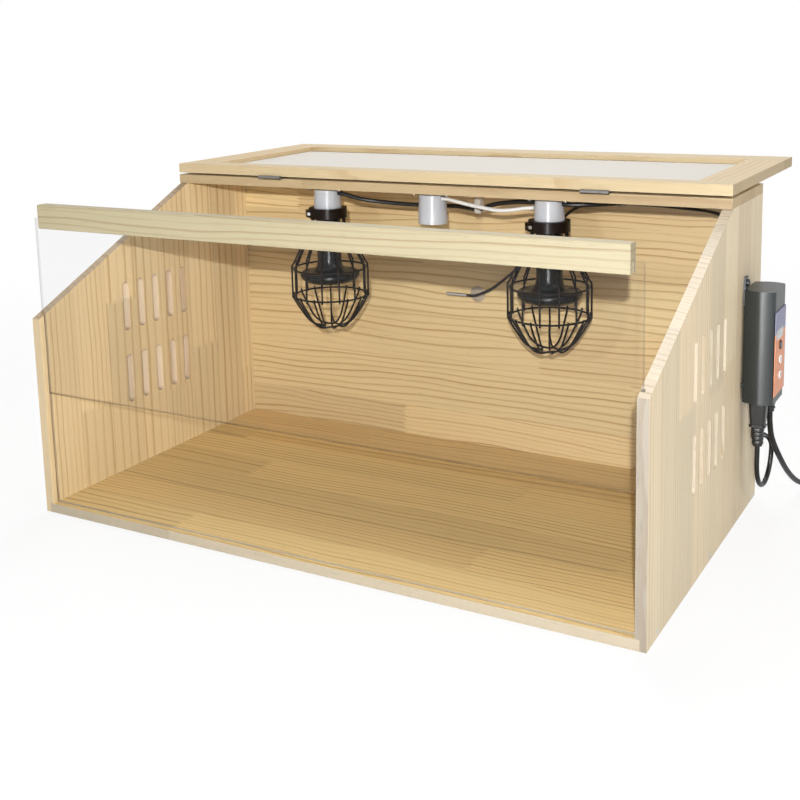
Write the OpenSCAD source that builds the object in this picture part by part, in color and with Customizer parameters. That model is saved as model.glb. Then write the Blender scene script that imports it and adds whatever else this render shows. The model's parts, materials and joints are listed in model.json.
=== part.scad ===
// Chick brooder box: pine box with a sliding window, a folding top flap, lamps and a thermostat.
// Millimetres, +Z up. The origin is the middle of the floor's underside; the window faces -Y.

/* [Box] */
// width over the side panels
box_w = 800; // [500:5:1200]
// depth from the front edge to the back
box_d = 450; // [400:5:600]
// side panel thickness
side_t = 12; // [9:0.5:18]
// floor thickness
floor_t = 12; // [9:0.5:18]
// back panel thickness
back_t = 12; // [9:0.5:18]
// top board thickness
top_t = 12; // [9:0.5:18]
// height of the side panels at the front
front_h = 256; // [200:1:300]
// height of the side panels at the back
side_h = 394; // [380:1:460]
// how far back the slope runs
slope_run = 302; // [250:1:305]
// how far the floor is let into each side panel
floor_let_in = 5; // [2:0.5:7]
// how far the top board reaches past the top of the slope
top_lip = 3; // [0:0.5:6]
// radius of the side screw shanks
screw_r = 1.8; // [1.2:0.1:2.4]
// radius of the side screw heads
screw_head_r = 3.5; // [2.8:0.1:4.5]

/* [Vents] */
// slots in each row
vent_columns = 5; // [2:1:6]
// slot width
vent_w = 12; // [8:0.5:16]
// slot height over the round ends
vent_h = 68; // [40:1:80]
// distance from slot to slot
vent_pitch = 30; // [22:1:30]
// distance from the front edge to the first slot
vent_setback = 158; // [120:1:165]
// bottom of the lower row
vent_low_z = 104; // [70:1:110]
// height from the lower row to the upper row
vent_row_step = 102; // [92:1:110]

/* [Window] */
// thickness of the clear sheet
sheet_t = 3; // [2:0.25:4]
// play of the sheet in its grooves
sheet_play = 1; // [0.6:0.1:1.5]
// depth of the grooves in the side panels
groove_depth = 5; // [3:0.5:6]
// distance from the front edge to the groove's middle
groove_setback = 10; // [8:0.5:14]
// depth of the groove in the floor
floor_groove_depth = 4; // [2:0.5:5]
// height of the sheet and bar together
window_h = 245; // [225:1:247]
// height of the wooden bar
bar_h = 30; // [20:1:40]
// thickness of the wooden bar
bar_t = 16; // [10:0.5:16]
// gap between the bar's ends and the side panels
bar_end_gap = 8; // [3:0.5:12]
// how far the sheet is let into the bar
bar_slot = 12; // [6:0.5:15]
// how far the window is raised as shown
window_raise = 148; // [20:1:150]

/* [Flap] */
// depth of the flap from the hinge edge
flap_d = 323; // [250:1:332]
// thickness of the flap's frame
flap_t = 13; // [10:0.5:18]
// width of the rail at the hinges
flap_near_w = 30; // [24:1:50]
// width of the far rail
flap_far_w = 48; // [30:1:60]
// width of the side rails
flap_side_w = 48; // [30:1:60]
// thickness of the panel
flap_panel_t = 3; // [2:0.25:4]
// height of the panel above the frame's lower face
flap_panel_lift = 3; // [2.5:0.25:5]
// how far the panel is let into the rails
flap_panel_in = 6; // [3:0.5:10]

/* [Hinges] */
// distance of each hinge from the middle
hinge_x = 237; // [150:1:320]
// width of each hinge
hinge_w = 36; // [30:1:60]
// depth of each leaf on the wood
hinge_leaf_d = 18; // [14:0.5:22]
// leaf thickness
hinge_leaf_t = 1.4; // [1:0.1:1.4]
// gap between the folded leaves
hinge_leaf_gap = 0.2; // [0.2:0.1:0.6]
// knuckle radius
knuckle_r = 2.8; // [2.4:0.1:3]
// hinge pin radius
pin_r = 1.5; // [1:0.1:1.6]
// radial play of the turning knuckle on its pin
pin_play = 0.05; // [0.02:0.01:0.1]
// gap between neighbouring knuckles
knuckle_gap = 0.4; // [0.3:0.05:0.8]
// radius of the hinge screw shanks
hinge_screw_r = 1.2; // [1:0.1:1.5]
// length of the hinge screws
hinge_screw_l = 8; // [6:0.5:9]
// radius of the rubber bumpers under the flap
bumper_r = 6; // [4:0.5:9]

/* [Lamps] */
// distance between neighbouring lamps
lamp_pitch = 165; // [150:1:180]
// distance from the front edge to the lamps
lamp_setback = 330; // [325:1:345]
// radius of a lamp holder at its mouth
holder_r = 19.5; // [18.5:0.5:22]
// height of a lamp holder
holder_h = 39; // [34:1:42]
// radius of the lamp bore in a holder
socket_r = 13.4; // [13:0.1:14]
// depth of the lamp bore
socket_depth = 28; // [22:1:30]
// radius of the emitter's screw cap
cap_r = 13; // [12:0.1:13]
// radius of the emitter's stem
stem_r = 16.8; // [15:0.2:18]
// radius of the emitter's dish
dish_r = 41.5; // [34:0.5:44]
// length of the emitter below its holder
emitter_l = 94; // [85:1:100]
// thickness of the clamp collar's wall
collar_wall = 7; // [6:0.5:9]
// height of the clamp collar
collar_h = 14; // [10:0.5:18]
// radius of the wire cage
cage_r = 53; // [50:0.5:58]
// radius of the cage wire
wire_r = 1.1; // [0.9:0.1:1.6]
// length of the cage below its collar
cage_l = 155; // [145:1:160]
// number of wire loops in a cage
cage_loops = 5; // [4:1:6]

/* [Thermostat] */
// case depth away from the side panel
case_t = 37.5; // [30:0.5:50]
// case width along the side panel
case_w = 66; // [60:1:80]
// case height
case_h = 138; // [130:1:160]
// distance from the front edge to the case's middle
case_setback = 383; // [375:1:390]
// height of the case's underside
case_z = 152; // [145:1:170]
// radius of the case's upright edges
case_round = 6; // [3:0.5:8]
// radius of the case's bulging sides
case_bulge_r = 50; // [45:1:90]
// gap between the case and the side panel
case_gap = 2.5; // [2:0.5:5]
// thickness of the label, display and keypad
face_t = 1; // [0.8:0.1:2]
// button radius
button_r = 5.5; // [4:0.1:7]
// how far a button stands out of the keypad
button_out = 1.5; // [1.2:0.1:2.5]
// button travel
button_travel = 1; // [0.6:0.1:1.1]
// radial play around a button
button_play = 0.35; // [0.3:0.05:0.6]

/* [Cords] */
// diameter of the mains lead
cord_d = 7; // [6:0.1:7.2]
// diameter of the lamp leads
lead_d = 6; // [5:0.1:6.4]
// diameter of the white wire between two holders
wire_d = 5; // [3:0.1:5.5]
// diameter of the probe lead
probe_d = 4; // [3:0.1:4.5]
// radius of the probe rod
probe_rod_r = 2.4; // [2:0.1:3]
// length of the probe rod
probe_rod_l = 32; // [25:1:45]
// radius of the probe's suction cup
cup_r = 11.5; // [8:0.5:14]
// mean radius of the mains coil
coil_r = 40; // [38:0.5:42]
// distance between neighbouring turns of the coil
coil_pitch = 8.8; // [8.6:0.1:9.2]
// height between the coil's two layers
coil_step = 8.4; // [8.2:0.1:9]

/* [Hidden] */
$fn = 48;
e = 0.01;

// box
front_y = -box_d / 2;
back_y = box_d / 2;
in_x = box_w / 2 - side_t;
in_back_y = back_y - back_t;
slope_y = front_y + slope_run;
top_y = slope_y - top_lip;
top_z = side_h + top_t;
screw_ys = [front_y + 36, front_y + 231, back_y - 15];
screw_z = floor_t / 2;
screw_in = 28;
screw_head_t = 1.2;

// vents
vent_zs = [vent_low_z, vent_low_z + vent_row_step];
vent_ys = [for (i = [0 : vent_columns - 1]) front_y + vent_setback + i * vent_pitch];

// window
groove_y = front_y + groove_setback;
groove_w = sheet_t + sheet_play;
groove_end_play = 1.5;
sheet_w = 2 * (in_x + groove_depth - groove_end_play);
closed_z = floor_t - floor_groove_depth + 1;
sheet_z = closed_z + window_raise;
bar_z = sheet_z + window_h - bar_h;
bar_w = 2 * (in_x - bar_end_gap);

// flap and hinges
flap_gap = 2 * hinge_leaf_t + hinge_leaf_gap;
flap_z = top_z + flap_gap;
flap_far_y = top_y + flap_d;
flap_in_w = box_w - 2 * flap_side_w;
flap_in_d = flap_d - flap_near_w - flap_far_w;
axis_y = top_y - knuckle_r - 0.4;
axis_z = top_z + flap_gap / 2;
knuckle_l = (hinge_w - 2 * knuckle_gap) / 3;
hinge_screw_xs = [-hinge_w / 2 + 7, hinge_w / 2 - 7];
hinge_screw_y = top_y + hinge_leaf_d / 2;
bumper_xs = [-box_w / 2 + 30, box_w / 2 - 30];
bumper_y = back_y - 20;

// lamps
lamp_y = front_y + lamp_setback;
lamp_xs = [-lamp_pitch, 0, lamp_pitch];
plate_t = 3;
plate_l = 58;
plate_w = 24;
holder_top = side_h - plate_t;
holder_z = holder_top - holder_h;
neck_r = holder_r - 1.5;
contact_r = 5;
contact_t = 1.5;
collar_z = holder_z - 1;
collar_bore_r = holder_r + 0.1;
collar_r = collar_bore_r + collar_wall;
collar_slot = 3;
ear_turn = 225;
ear_w = collar_slot + 8;
ear_out = 4;
clamp_screw_r = 1.3;
clamp_out = 1.9;
clamp_head_r = 2.2;
cap_top = holder_z + socket_depth - 2;
dish_z = holder_z - emitter_l;
upper_ring_z = collar_z - 0.46 * cage_l;
lower_ring_z = collar_z - 0.71 * cage_l;
loop_z = collar_z - cage_l + wire_r;
loop_half = 360 / cage_loops / 4;

// thermostat
case_x = box_w / 2 + case_gap;
case_face_x = case_x + case_t - face_t;
case_y = front_y + case_setback;
face_w = case_w - 2 * case_round;
button_zs = [case_z + 69, case_z + 51, case_z + 32];
button_back_x = case_face_x - 3;
button_bore_r = button_r + button_play;
foot_r = 3;
foot_ys = [case_y - case_w / 2 + 8, case_y + case_w / 2 - 8];
hanger_y = case_y - 16;
hanger_w = 14;
plug_x = case_x + case_t / 2 - 1;
plug_y = case_y - 18;
plug_z = case_z - 55;
gland_x = case_x + case_t - 13;
gland_y = case_y + 15;
gland_z = case_z - 20;
hole_inset = 11;
hole_y = in_back_y - hole_inset;
hole_z = 92;
hole_r = 5.5;
flange_r = 8;
flange_t = 2;
tail_y = case_y;
tail_z = case_z + 0.71 * case_h;
tail_r = probe_d / 2 + 0.4;

// routes, each a list of hand-laid points
cord_r = cord_d / 2;
floor_cord_z = cord_r + 0.5;
out_x = box_w / 2 + 24;
loop_mid_y = (plug_y + hole_y) / 2;
loop_r = (hole_y - plug_y) / 2;
loop_route = concat(
    [[plug_x, plug_y, plug_z], [plug_x, plug_y, plug_z - 8]],
    [for (a = [180 : -30 : 0])
        [plug_x + (out_x - plug_x) * (180 - a) / 180, loop_mid_y + loop_r * cos(a), plug_z - 28 - loop_r * sin(a)]],
    [[out_x - 0.2, hole_y, hole_z - 12], [out_x - 4.1, hole_y, hole_z - 4.1],
        [box_w / 2 + flange_t + 8, hole_y, hole_z], [box_w / 2 + flange_t, hole_y, hole_z]]
);
coil_x = box_w / 2 + 150;
coil_y = back_y + 90;
coil_turns = 2.25;
nose_l = 14;
plug_l = 40;
plug_w = 30;
pin_l = 19;
pin_gap = 19;
coil_in_r = coil_r - coil_turns * coil_pitch / 2;
coil_out_r = coil_r + coil_turns * coil_pitch / 2;
coil_high_z = floor_cord_z + coil_step;
coil_start = [coil_x - 2 * cord_d, coil_y + coil_out_r, floor_cord_z];
mains_route = [
    [gland_x, gland_y, gland_z],
    [gland_x, gland_y, gland_z - 10],
    [gland_x + 2, gland_y + 6, gland_z - 36],
    [gland_x + 8, gland_y + 28, gland_z - 68],
    [gland_x + 14, gland_y + 58, gland_z - 98],
    [gland_x + 22, gland_y + 90, floor_cord_z + 8],
    [gland_x + 36, gland_y + 120, floor_cord_z],
    [gland_x + 62, coil_start.y - 8, floor_cord_z],
    [coil_start.x - 16, coil_start.y, floor_cord_z],
    [coil_start.x, coil_start.y, floor_cord_z]
];
holder_side = neck_r - 1;
screw_head_h = 1.8;
lead_z = holder_top - screw_head_h - lead_d / 2 - 0.7;
lamp_route = [
    [lamp_xs[0] + holder_side, lamp_y, lead_z],
    [lamp_xs[0] + holder_side + 10, lamp_y + 1, lead_z - 1],
    [lamp_xs[0] + 0.3 * lamp_pitch, lamp_y + 8, lead_z - 1.3 * lead_d],
    [lamp_xs[0] + 0.51 * lamp_pitch, lamp_y + holder_r + 2.5, lead_z - 2.2 * lead_d],
    [lamp_xs[1] - 0.15 * lamp_pitch, lamp_y + holder_r + 10, lead_z - 2.5 * lead_d],
    [lamp_xs[1] + 0.11 * lamp_pitch, lamp_y + holder_r + 8, lead_z - 2.3 * lead_d],
    [lamp_xs[1] + 0.28 * lamp_pitch, lamp_y + 16, lead_z - 2.3 * lead_d],
    [lamp_xs[1] + 0.375 * lamp_pitch, lamp_y + 12, lead_z - 2.3 * lead_d],
    [lamp_xs[1] + 0.52 * lamp_pitch, lamp_y + 10, lead_z - lead_d],
    [lamp_xs[2] - 0.29 * lamp_pitch, lamp_y + 8, lead_z - 1],
    [lamp_xs[2] - holder_side - 10, lamp_y + 5, lead_z],
    [lamp_xs[2] - holder_side, lamp_y + 5, lead_z]
];
white_route = [
    [lamp_xs[1] + holder_side, lamp_y - 5, lead_z],
    [lamp_xs[1] + holder_side + 8, lamp_y - 6, lead_z],
    [lamp_xs[1] + 0.36 * lamp_pitch, lamp_y - 11, lead_z - wire_d],
    [lamp_xs[1] + 0.62 * lamp_pitch, lamp_y - 13, lead_z - 2 * wire_d],
    [lamp_xs[2] - holder_side - 12, lamp_y - 9, lead_z - 1.2 * wire_d],
    [lamp_xs[2] - holder_side, lamp_y - 8, lead_z - wire_d]
];
wall_x = in_x - lead_d / 2 - 1;
riser_route = [
    [lamp_xs[2] + holder_side, lamp_y, lead_z],
    [lamp_xs[2] + holder_side + 10, lamp_y, lead_z],
    [lamp_xs[2] + 60, lamp_y + 14, lead_z],
    [in_x - 110, hole_y - 34, lead_z],
    [in_x - 60, hole_y - 10, lead_z],
    [in_x - 30, hole_y - 1, lead_z - 2],
    [in_x - 12, hole_y, lead_z - 14],
    [wall_x, hole_y, lead_z - 36],
    [wall_x, hole_y, lead_z - 110],
    [wall_x, hole_y, hole_z + 60],
    [wall_x - 10, hole_y, hole_z + 26],
    [wall_x - 14, hole_y, hole_z + 10],
    [in_x - flange_t - 8, hole_y, hole_z],
    [in_x - flange_t, hole_y, hole_z]
];
probe_x = 2;
probe_y = in_back_y - 14;
probe_drop = 159;
probe_z = side_h - probe_drop;
cup_x = probe_x + 10;
tail_x = in_x - probe_d / 2 - 1;
probe_rise = lead_z - 11 - probe_z;
tail_fall = lead_z - tail_z;
probe_route = [
    [probe_x, probe_y, probe_z],
    [cup_x, probe_y, probe_z],
    [cup_x + 18, probe_y, probe_z + 0.05 * probe_rise],
    [cup_x + 38, probe_y, probe_z + 0.14 * probe_rise],
    [cup_x + 80, probe_y, probe_z + 0.4 * probe_rise],
    [cup_x + 118, probe_y, probe_z + 0.7 * probe_rise],
    [cup_x + 146, probe_y, probe_z + 0.92 * probe_rise],
    [cup_x + 180, probe_y, probe_z + probe_rise],
    [in_x - 160, probe_y, lead_z - 9],
    [in_x - 80, probe_y - 16, lead_z - 9],
    [in_x - 28, tail_y + 6, lead_z - 11],
    [in_x - 10, tail_y, lead_z - 0.16 * tail_fall],
    [tail_x, tail_y, lead_z - 0.3 * tail_fall],
    [tail_x, tail_y, tail_z + 0.43 * tail_fall],
    [tail_x - 4, tail_y, tail_z + 0.1 * tail_fall],
    [tail_x - 3, tail_y, tail_z + 0.02 * tail_fall],
    [in_x + 1, tail_y, tail_z],
    [case_x, tail_y, tail_z]
];
clip_w = 8;
clip_wall = 2;

// curves and tubes
function span(mid, w) = [mid - w / 2, mid + w / 2];
function unit(v) = v / norm(v);
function blend_at(a, b, c, d, t) =
    0.5 * (2 * b + (c - a) * t + (2 * a - 5 * b + 4 * c - d) * t * t + (3 * b - a - 3 * c + d) * t * t * t);
function curve(p, n) = concat(
    [p[0]],
    [for (i = [1 : len(p) - 3]) for (k = [0 : n - 1]) blend_at(p[i - 1], p[i], p[i + 1], p[i + 2], k / n)],
    [p[len(p) - 2], p[len(p) - 1]]);
function tangents(p) = [for (i = [0 : len(p) - 1]) unit(p[min(i + 1, len(p) - 1)] - p[max(i - 1, 0)])];
function square_to(n, t) = unit(n - (n * t) * t);
function normals(t, n, i = 0) =
    i == len(t) ? [] : let (m = square_to(n, t[i])) concat([m], normals(t, m, i + 1));
function first_normal(t) = square_to(abs(t.z) < 0.8 ? [0, 0, 1] : [1, 0, 0], t);
function route_length(p) = len(p) < 2 ? 0 : [for (i = [1 : len(p) - 1]) norm(p[i] - p[i - 1])] * [for (i = [1 : len(p) - 1]) 1];

module tube(path, r, sides = 8) {
    t = tangents(path);
    n = normals(t, first_normal(t[0]));
    rings = len(path);
    points = [for (i = [0 : rings - 1]) for (k = [0 : sides - 1])
        path[i] + r * (cos(360 * k / sides) * n[i] + sin(360 * k / sides) * cross(t[i], n[i]))];
    walls = [for (i = [0 : rings - 2]) for (k = [0 : sides - 1])
        let (a = i * sides + k, b = i * sides + (k + 1) % sides) each [[a, a + sides, b], [b, a + sides, b + sides]]];
    last = (rings - 1) * sides;
    caps = [for (k = [1 : sides - 2]) each [[0, k, k + 1], [last, last + k + 1, last + k]]];
    polyhedron(points, concat(walls, caps), convexity = 8);
}

module rod_x(x0, x1, y, z, r) {
    translate([x0, y, z])
        rotate([0, 90, 0])
            cylinder(r = r, h = x1 - x0);
}

module block(x, y, z) {
    translate([x[0], y[0], z[0]])
        cube([x[1] - x[0], y[1] - y[0], z[1] - z[0]]);
}

module rounded(w, d, r) {
    square([w, d - 2 * r], center = true);
    square([w - 2 * r, d], center = true);
    for (x = [-1, 1], y = [-1, 1])
        translate([x * (w / 2 - r), y * (d / 2 - r)])
            circle(r = r);
}

// box
module side_outline() {
    polygon([[front_y, 0], [back_y, 0], [back_y, side_h], [slope_y, side_h], [front_y, front_h]]);
}

module vent() {
    translate([0, vent_w / 2])
        circle(r = vent_w / 2);
    translate([0, vent_h - vent_w / 2])
        circle(r = vent_w / 2);
    translate([-vent_w / 2, vent_w / 2])
        square([vent_w, vent_h - vent_w]);
}

module side_panel() {
    difference() {
        translate([in_x, 0, 0])
            rotate([90, 0, 90])
                linear_extrude(side_t)
                    difference() {
                        side_outline();
                        for (y = vent_ys, z = vent_zs)
                            translate([y, z])
                                vent();
                    }
        block([in_x - 1, in_x + floor_let_in], [front_y - 1, back_y + 1], [-1, floor_t]);
        block([in_x - 1, in_x + groove_depth], span(groove_y, groove_w), [floor_t - 1, side_h]);
        for (y = screw_ys) {
            rod_x(in_x, box_w / 2 + 1, y, screw_z, screw_r);
            rod_x(box_w / 2 - screw_head_t, box_w / 2 + 1, y, screw_z, screw_head_r);
        }
    }
}

module side_left() {
    color("BurlyWood")
        mirror([1, 0, 0])
            side_panel();
}

module side_right() {
    color("BurlyWood")
        difference() {
            side_panel();
            rod_x(in_x - 1, box_w / 2 + 1, hole_y, hole_z, hole_r);
            rod_x(in_x - 1, box_w / 2 + 1, tail_y, tail_z, tail_r);
        }
}

module back_panel() {
    color("BurlyWood")
        block([-in_x, in_x], [in_back_y, back_y], [floor_t, side_h]);
}

module floor_panel() {
    w = in_x + floor_let_in;
    color("Tan")
        difference() {
            block([-w, w], [front_y, back_y], [0, floor_t]);
            block([-w - 1, w + 1], span(groove_y, groove_w), [floor_t - floor_groove_depth, floor_t + 1]);
            for (y = screw_ys) {
                rod_x(-w - 1, -w + screw_in, y, screw_z, screw_r);
                rod_x(w - screw_in, w + 1, y, screw_z, screw_r);
            }
        }
}

module top_board() {
    color("BurlyWood")
        difference() {
            block([-box_w / 2, box_w / 2], [top_y, back_y], [side_h, top_z]);
            for (s = [-1, 1], x = hinge_screw_xs)
                translate([s * hinge_x + x, hinge_screw_y, top_z - hinge_screw_l])
                    cylinder(r = hinge_screw_r, h = hinge_screw_l + 1);
        }
}

module side_screw(y) {
    w = in_x + floor_let_in;
    rod_x(w - screw_in + 1, box_w / 2 - screw_head_t + e, y, screw_z, screw_r);
    rod_x(box_w / 2 - screw_head_t, box_w / 2, y, screw_z, screw_head_r);
}

module side_screws() {
    color("DimGray")
        for (y = screw_ys) {
            side_screw(y);
            mirror([1, 0, 0])
                side_screw(y);
        }
}

// flap
module flap_space() {
    w = flap_in_w / 2 + flap_panel_in;
    z = flap_z + flap_panel_lift;
    block([-w, w], [top_y + flap_near_w - flap_panel_in, flap_far_y - flap_far_w + flap_panel_in], [z, z + flap_panel_t]);
}

module flap_near_rail() {
    color("BurlyWood")
        difference() {
            block([-box_w / 2, box_w / 2], [top_y, top_y + flap_near_w], [flap_z, flap_z + flap_t]);
            flap_space();
            for (s = [-1, 1], x = hinge_screw_xs)
                translate([s * hinge_x + x, hinge_screw_y, flap_z - 1])
                    cylinder(r = hinge_screw_r, h = hinge_screw_l + 1);
        }
}

module flap_far_rail() {
    color("BurlyWood")
        difference() {
            block([-box_w / 2, box_w / 2], [flap_far_y - flap_far_w, flap_far_y], [flap_z, flap_z + flap_t]);
            flap_space();
        }
}

module flap_side_rail() {
    difference() {
        block([flap_in_w / 2, box_w / 2], [top_y + flap_near_w, flap_far_y - flap_far_w], [flap_z, flap_z + flap_t]);
        flap_space();
    }
}

module flap_left_rail() {
    color("BurlyWood")
        mirror([1, 0, 0])
            flap_side_rail();
}

module flap_right_rail() {
    color("BurlyWood")
        flap_side_rail();
}

module flap_panel() {
    color("WhiteSmoke")
        flap_space();
}

// hinges
module hinge_screw(h, shank) {
    cylinder(r1 = hinge_screw_r, r2 = hinge_screw_r + h, h = h);
    translate([0, 0, -shank])
        cylinder(r = hinge_screw_r, h = shank + e);
}

module leaf_holes(z, flip) {
    for (x = hinge_screw_xs)
        translate([x, hinge_screw_y, z])
            mirror([0, 0, flip])
                cylinder(r1 = hinge_screw_r, r2 = hinge_screw_r + hinge_leaf_t, h = hinge_leaf_t);
}

module knuckle(x0, x1, z0, bore) {
    difference() {
        union() {
            rod_x(x0, x1, axis_y, axis_z, knuckle_r);
            block([x0, x1], [axis_y, top_y + 1], [z0, z0 + hinge_leaf_t]);
        }
        rod_x(x0 - 1, x1 + 1, axis_y, axis_z, bore);
    }
}

module hinge_base() {
    color("Goldenrod") {
        difference() {
            block([-hinge_w / 2, hinge_w / 2], [top_y, top_y + hinge_leaf_d], [top_z, top_z + hinge_leaf_t]);
            leaf_holes(top_z, 0);
        }
        knuckle(-hinge_w / 2, -hinge_w / 2 + knuckle_l, top_z, pin_r);
        knuckle(hinge_w / 2 - knuckle_l, hinge_w / 2, top_z, pin_r);
    }
}

module hinge_flap() {
    color("Goldenrod") {
        difference() {
            block([-hinge_w / 2, hinge_w / 2], [top_y, top_y + hinge_leaf_d], [flap_z - hinge_leaf_t, flap_z]);
            leaf_holes(flap_z, 1);
        }
        knuckle(-knuckle_l / 2, knuckle_l / 2, flap_z - hinge_leaf_t, pin_r + pin_play);
    }
}

module hinge_pin() {
    color("Silver")
        rod_x(-hinge_w / 2, hinge_w / 2, axis_y, axis_z, pin_r);
}

module hinge_base_left() {
    translate([-hinge_x, 0, 0])
        hinge_base();
}

module hinge_base_right() {
    translate([hinge_x, 0, 0])
        hinge_base();
}

module hinge_flap_left() {
    translate([-hinge_x, 0, 0])
        hinge_flap();
}

module hinge_flap_right() {
    translate([hinge_x, 0, 0])
        hinge_flap();
}

module hinge_pin_left() {
    translate([-hinge_x, 0, 0])
        hinge_pin();
}

module hinge_pin_right() {
    translate([hinge_x, 0, 0])
        hinge_pin();
}

module hinge_screws_base() {
    color("Goldenrod")
        for (s = [-1, 1], x = hinge_screw_xs)
            translate([s * hinge_x + x, hinge_screw_y, top_z])
                hinge_screw(hinge_leaf_t, hinge_screw_l - 1);
}

module hinge_screws_flap() {
    color("Goldenrod")
        for (s = [-1, 1], x = hinge_screw_xs)
            translate([s * hinge_x + x, hinge_screw_y, flap_z])
                mirror([0, 0, 1])
                    hinge_screw(hinge_leaf_t, hinge_screw_l - 1);
}

module bumpers() {
    color("DarkSlateGray")
        for (x = bumper_xs)
            translate([x, bumper_y, top_z])
                cylinder(r = bumper_r, h = flap_gap);
}

// window
module window_sheet() {
    color("LightCyan", 0.4)
        block([-sheet_w / 2, sheet_w / 2], span(groove_y, sheet_t), [sheet_z, bar_z + bar_slot]);
}

module window_bar() {
    color("Wheat")
        difference() {
            block([-bar_w / 2, bar_w / 2], span(groove_y, bar_t), [bar_z, bar_z + bar_h]);
            block([-bar_w / 2 - 1, bar_w / 2 + 1], span(groove_y, sheet_t), [bar_z - 1, bar_z + bar_slot]);
        }
}

// lamps
module holder_plates() {
    color("Silver")
        for (x = lamp_xs)
            block(span(x, plate_l), span(lamp_y, plate_w), [holder_top, side_h]);
}

module plate_screws() {
    color("DimGray")
        for (x = lamp_xs, s = [-1, 1])
            translate([x + s * (plate_l / 2 - 5), lamp_y - 6, holder_top - screw_head_h])
                cylinder(r = 3, h = screw_head_h);
}

module holder() {
    color("WhiteSmoke")
        difference() {
            rotate_extrude()
                polygon([
                    [0, holder_top], [neck_r - 1, holder_top], [neck_r, holder_top - 1],
                    [holder_r, holder_z + 0.3 * holder_h], [holder_r, holder_z], [0, holder_z]
                ]);
            translate([0, 0, holder_z - 1])
                cylinder(r = socket_r, h = socket_depth + 1);
            translate([0, 0, holder_z + socket_depth - 1])
                cylinder(r = contact_r, h = contact_t + 1);
        }
}

module holder_left() {
    translate([lamp_xs[0], lamp_y, 0])
        holder();
}

module holder_mid() {
    translate([lamp_xs[1], lamp_y, 0])
        holder();
}

module holder_right() {
    translate([lamp_xs[2], lamp_y, 0])
        holder();
}

module socket_contact() {
    color("Gold")
        translate([lamp_xs[1], lamp_y, holder_z + socket_depth])
            cylinder(r = contact_r, h = contact_t);
}

module collar() {
    color("DimGray")
        translate([0, 0, collar_z])
            difference() {
                union() {
                    cylinder(r = collar_r, h = collar_h);
                    rotate(ear_turn)
                        block([collar_bore_r + 2, collar_r + ear_out], span(0, ear_w), [2, collar_h - 2]);
                }
                translate([0, 0, -1])
                    cylinder(r = collar_bore_r, h = collar_h + 2);
                rotate(ear_turn) {
                    block([0, collar_r + ear_out + 1], span(0, collar_slot), [-1, collar_h + 1]);
                    translate([collar_r + clamp_out, 0, collar_h / 2])
                        rotate([90, 0, 0])
                            cylinder(r = clamp_screw_r, h = ear_w + 2, center = true);
                }
            }
}

module collar_left() {
    translate([lamp_xs[0], lamp_y, 0])
        collar();
}

module collar_right() {
    translate([lamp_xs[2], lamp_y, 0])
        collar();
}

module collar_screws() {
    color("Silver")
        for (x = [lamp_xs[0], lamp_xs[2]])
            translate([x, lamp_y, collar_z + collar_h / 2])
                rotate(ear_turn)
                    translate([collar_r + clamp_out, ear_w / 2, 0])
                        rotate([90, 0, 0]) {
                            cylinder(r = clamp_screw_r, h = ear_w + 2);
                            translate([0, 0, -2])
                                cylinder(r = clamp_head_r, h = 2);
                        }
}

function around(r, a, z) = [r * cos(a), r * sin(a), z];
function half_loop(a, s) = [
    around(collar_r - 4, a + s * loop_half, collar_z),
    around(collar_r - 4, a + s * loop_half, collar_z - 6),
    around(collar_r + 4, a + s * loop_half, collar_z - 24),
    around(cage_r - 4, a + s * loop_half, upper_ring_z + 10),
    around(cage_r, a + s * loop_half, upper_ring_z),
    around(cage_r, a + s * loop_half, lower_ring_z),
    around(cage_r - 1.8, a + s * loop_half, lower_ring_z - 9),
    around(cage_r * 0.87, a + s * loop_half, loop_z + 24),
    around(cage_r * 0.69, a + s * loop_half, loop_z + 11),
    around(cage_r * 0.47, a + s * loop_half, loop_z + 3),
    around(cage_r * 0.34, a + s * loop_half * 0.8, loop_z)
];
function reversed(p) = [for (i = [len(p) - 1 : -1 : 0]) p[i]];
function wire_loop(a) = concat(half_loop(a, -1), [around(cage_r * 0.3, a, loop_z)], reversed(half_loop(a, 1)));

module cage() {
    color("DimGray") {
        for (i = [0 : cage_loops - 1])
            tube(wire_loop(360 * (i + 0.5) / cage_loops), wire_r, 6);
        for (z = [upper_ring_z, lower_ring_z])
            translate([0, 0, z])
                rotate_extrude()
                    translate([cage_r + 1.2 * wire_r, 0])
                        circle(r = wire_r, $fn = 24);
    }
}

module cage_left() {
    translate([lamp_xs[0], lamp_y, 0])
        cage();
}

module cage_right() {
    translate([lamp_xs[2], lamp_y, 0])
        cage();
}

module emitter() {
    color("DimGray")
        rotate_extrude()
            polygon([
                [0, cap_top], [cap_r, cap_top], [cap_r, holder_z], [stem_r, holder_z],
                [stem_r, dish_z + 27], [stem_r + 1.2, dish_z + 21.5], [stem_r + 4.5, dish_z + 18.2],
                [dish_r * 0.7, dish_z + 16.4], [dish_r - 3, dish_z + 16.6], [dish_r - 0.6, dish_z + 15],
                [dish_r, dish_z + 12.6], [dish_r - 0.8, dish_z + 9.4], [dish_r - 4, dish_z + 5.6],
                [dish_r * 0.72, dish_z + 2.2], [dish_r * 0.4, dish_z + 0.5], [0, dish_z]
            ]);
}

module emitter_left() {
    translate([lamp_xs[0], lamp_y, 0])
        emitter();
}

module emitter_right() {
    translate([lamp_xs[2], lamp_y, 0])
        emitter();
}

// wiring inside the box
module lead_lamps() {
    color("Black")
        tube(curve(lamp_route, 2), lead_d / 2);
}

module lead_white() {
    color("White")
        tube(curve(white_route, 2), wire_d / 2);
}

module lead_riser() {
    color("Black")
        tube(curve(riser_route, 2), lead_d / 2);
}

module clip(p, r) {
    difference() {
        block(span(p.x, clip_w), span(p.y, 2 * (r + clip_wall)), [p.z - r - clip_wall, side_h]);
        rod_x(p.x - clip_w, p.x + clip_w, p.y, p.z, r + 0.1);
    }
}

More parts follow.
